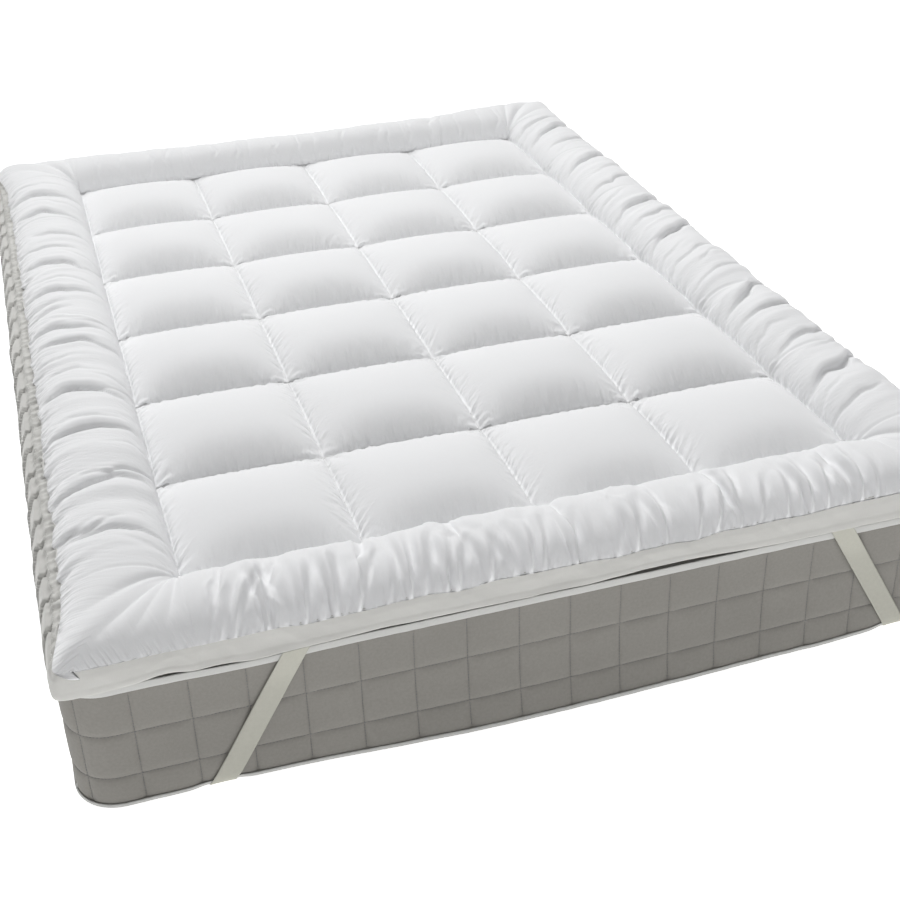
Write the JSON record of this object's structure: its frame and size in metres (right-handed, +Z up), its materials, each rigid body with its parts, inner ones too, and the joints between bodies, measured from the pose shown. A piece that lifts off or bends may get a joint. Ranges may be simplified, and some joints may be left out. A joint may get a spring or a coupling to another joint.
{
  "type": "quilted mattress topper on a mattress",
  "caption": "Filled mattress topper with sewn square channels and a thick gathered border, closed by a side band and held to a plain mattress by corner straps.",
  "frame": {"origin": "middle of the mattress's flat underside, on the floor", "axes": "+X across the bed to its right, +Y along the bed to its head end, +Z up"},
  "size_m": [1.4077, 1.9307, 0.285],
  "materials": {
    "top_cotton": "bright white plain-woven cotton, matt, softly puckered",
    "band_cotton": "white plain-woven cotton, matt and smooth",
    "woven_elastic": "ribbed woven elastic, undyed",
    "mattress_ticking": "taupe knitted ticking, stitched in squares on the walls",
    "pale_tape": "pale grosgrain binding tape"
  },
  "bodies": {
    "root": {"quilted_pad": "top_cotton", "side_band": "band_cotton", "corner_strap_front_left": "woven_elastic", "corner_strap_front_right": "woven_elastic", "corner_strap_back_left": "woven_elastic", "corner_strap_back_right": "woven_elastic", "mattress": "mattress_ticking", "mattress_top_tape": "pale_tape", "mattress_bottom_tape": "pale_tape"}
  },
  "joints": []
}
